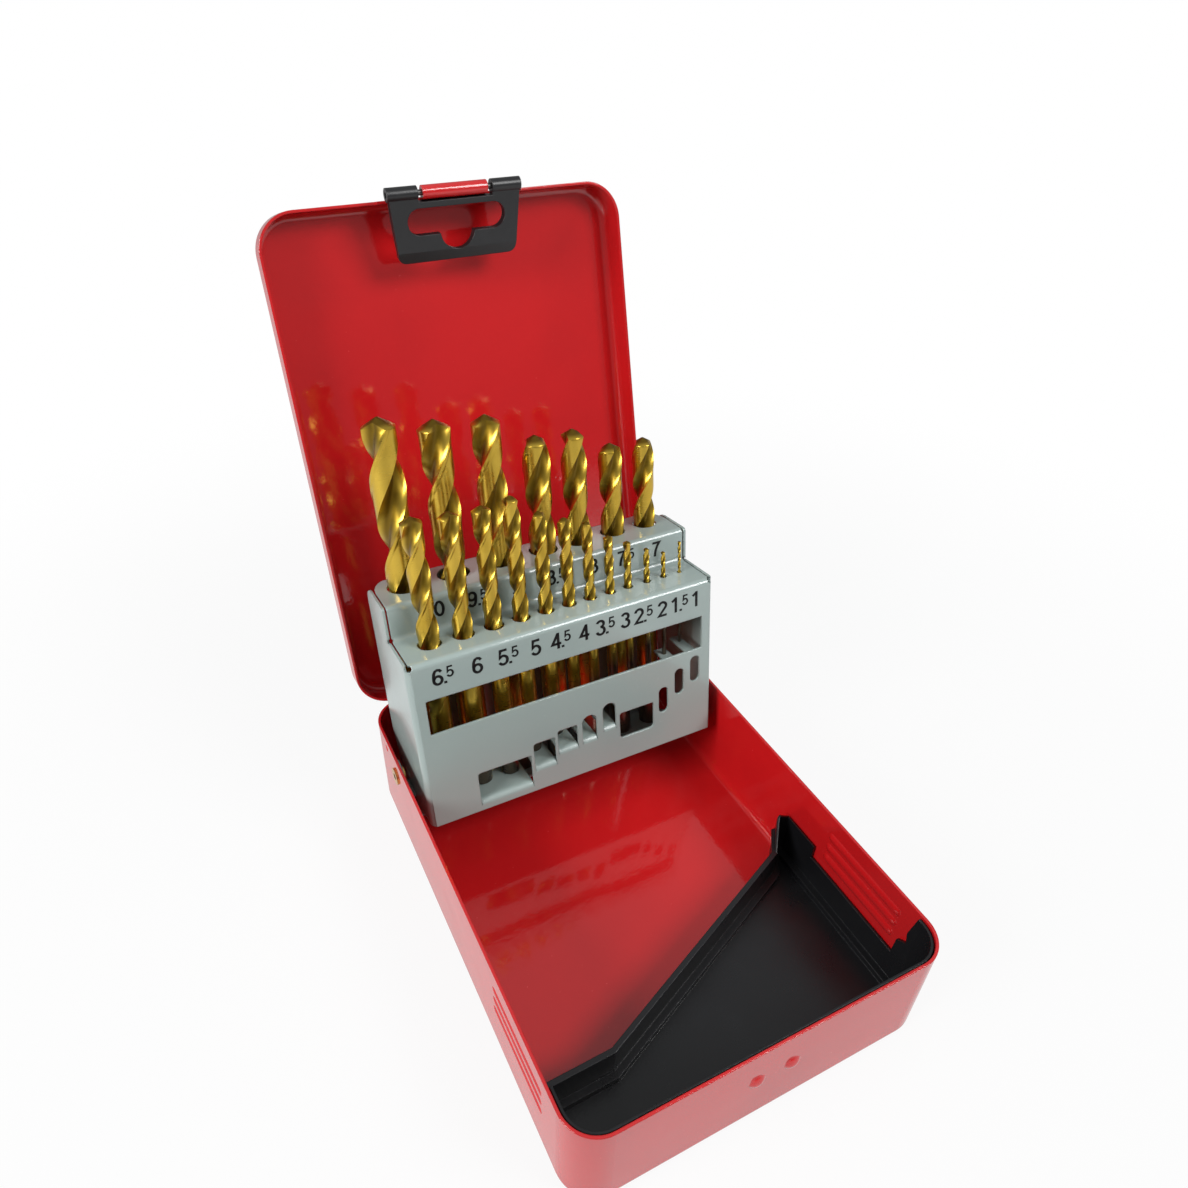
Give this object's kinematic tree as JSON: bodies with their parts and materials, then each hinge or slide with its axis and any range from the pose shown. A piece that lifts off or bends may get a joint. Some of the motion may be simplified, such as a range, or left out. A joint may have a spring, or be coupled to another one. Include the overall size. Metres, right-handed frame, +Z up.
{
  "type": "drill bit case",
  "caption": "Sheet metal drill bit case with a hinged lid, a clasp, a tilting numbered index of twist drill bits and a tray.",
  "frame": {"origin": "centre of the base's underside, on the table", "axes": "+Z up, -Y towards the clasp at the front, +Y towards the hinge, +X to the right seen from the front"},
  "size_m": [0.113, 0.2095, 0.1835],
  "materials": {
    "red_enamel": "glossy orange-peel enamel",
    "grey_enamel": "glossy grey-green enamel",
    "gold_bit": "gold titanium nitride coating on high-speed steel",
    "black_plastic": "moulded, satin gloss",
    "black_tray": "vacuum-formed sheet, satin",
    "brass": "bright hollow rivet",
    "steel_wire": "drawn wire"
  },
  "bodies": {
    "base": {"base_shell": "red_enamel", "hinge_wire": "steel_wire", "rivet_left": "brass", "rivet_right": "brass", "insert_tray": "black_tray"},
    "lid": {"lid_shell": "red_enamel"},
    "clasp": {"clasp": "black_plastic", "clasp_pin": "steel_wire"},
    "index": {"bit_index": "grey_enamel"},
    "bit_6_5": {"bit_6_5": "gold_bit"},
    "bit_6": {"bit_6": "gold_bit"},
    "bit_5_5": {"bit_5_5": "gold_bit"},
    "bit_5": {"bit_5": "gold_bit"},
    "bit_4_5": {"bit_4_5": "gold_bit"},
    "bit_4": {"bit_4": "gold_bit"},
    "bit_3_5": {"bit_3_5": "gold_bit"},
    "bit_3": {"bit_3": "gold_bit"},
    "bit_2_5": {"bit_2_5": "gold_bit"},
    "bit_2": {"bit_2": "gold_bit"},
    "bit_1_5": {"bit_1_5": "gold_bit"},
    "bit_1": {"bit_1": "gold_bit"},
    "bit_10": {"bit_10": "gold_bit"},
    "bit_9_5": {"bit_9_5": "gold_bit"},
    "bit_9": {"bit_9": "gold_bit"},
    "bit_8_5": {"bit_8_5": "gold_bit"},
    "bit_8": {"bit_8": "gold_bit"},
    "bit_7_5": {"bit_7_5": "gold_bit"},
    "bit_7": {"bit_7": "gold_bit"}
  },
  "joints": [
    {"name": "lid_hinge", "type": "hinge", "parent": "base", "child": "lid", "pos_m": [0, 0.0781, 0.03], "axis": [-1, 0, 0], "range_deg": [-105.6, 0]},
    {"name": "index_tilt", "type": "hinge", "parent": "base", "child": "index", "pos_m": [0, 0.0514, 0.0263], "axis": [-1, 0, 0], "range_deg": [-99.65, 0]},
    {"name": "clasp_swing", "type": "hinge", "parent": "lid", "child": "clasp", "pos_m": [0, 0.1178, 0.1815], "axis": [-1, 0, 0], "range_deg": [0, 105.6]},
    {"name": "bit_6_5_lift", "type": "slide", "parent": "index", "child": "bit_6_5", "axis": [0, 0.1676, 0.9859], "range_m": [0, 0.0593]},
    {"name": "bit_6_lift", "type": "slide", "parent": "index", "child": "bit_6", "axis": [0, 0.1676, 0.9859], "range_m": [0, 0.0563]},
    {"name": "bit_5_5_lift", "type": "slide", "parent": "index", "child": "bit_5_5", "axis": [0, 0.1676, 0.9859], "range_m": [0, 0.0563]},
    {"name": "bit_5_lift", "type": "slide", "parent": "index", "child": "bit_5", "axis": [0, 0.1676, 0.9859], "range_m": [0, 0.0509]},
    {"name": "bit_4_5_lift", "type": "slide", "parent": "index", "child": "bit_4_5", "axis": [0, 0.1676, 0.9859], "range_m": [0, 0.0475]},
    {"name": "bit_4_lift", "type": "slide", "parent": "index", "child": "bit_4", "axis": [0, 0.1676, 0.9859], "range_m": [0, 0.0469]},
    {"name": "bit_3_5_lift", "type": "slide", "parent": "index", "child": "bit_3_5", "axis": [0, 0.1676, 0.9859], "range_m": [0, 0.0449]},
    {"name": "bit_3_lift", "type": "slide", "parent": "index", "child": "bit_3", "axis": [0, 0.1676, 0.9859], "range_m": [0, 0.0407]},
    {"name": "bit_2_5_lift", "type": "slide", "parent": "index", "child": "bit_2_5", "axis": [0, 0.1676, 0.9859], "range_m": [0, 0.0407]},
    {"name": "bit_2_lift", "type": "slide", "parent": "index", "child": "bit_2", "axis": [0, 0.1676, 0.9859], "range_m": [0, 0.0363]},
    {"name": "bit_1_5_lift", "type": "slide", "parent": "index", "child": "bit_1_5", "axis": [0, 0.1676, 0.9859], "range_m": [0, 0.0311]},
    {"name": "bit_1_lift", "type": "slide", "parent": "index", "child": "bit_1", "axis": [0, 0.1676, 0.9859], "range_m": [0, 0.0281]},
    {"name": "bit_10_lift", "type": "slide", "parent": "index", "child": "bit_10", "axis": [0, 0.1676, 0.9859], "range_m": [0, 0.0815]},
    {"name": "bit_9_5_lift", "type": "slide", "parent": "index", "child": "bit_9_5", "axis": [0, 0.1676, 0.9859], "range_m": [0, 0.0815]},
    {"name": "bit_9_lift", "type": "slide", "parent": "index", "child": "bit_9", "axis": [0, 0.1676, 0.9859], "range_m": [0, 0.0815]},
    {"name": "bit_8_5_lift", "type": "slide", "parent": "index", "child": "bit_8_5", "axis": [0, 0.1676, 0.9859], "range_m": [0, 0.0815]},
    {"name": "bit_8_lift", "type": "slide", "parent": "index", "child": "bit_8", "axis": [0, 0.1676, 0.9859], "range_m": [0, 0.0815]},
    {"name": "bit_7_5_lift", "type": "slide", "parent": "index", "child": "bit_7_5", "axis": [0, 0.1676, 0.9859], "range_m": [0, 0.0815]},
    {"name": "bit_7_lift", "type": "slide", "parent": "index", "child": "bit_7", "axis": [0, 0.1676, 0.9859], "range_m": [0, 0.0815]}
  ],
  "couplings": [
    {"joint": "index_tilt", "follows": "lid_hinge", "ratio": 0.94366},
    {"joint": "clasp_swing", "follows": "lid_hinge", "ratio": -1}
  ]
}
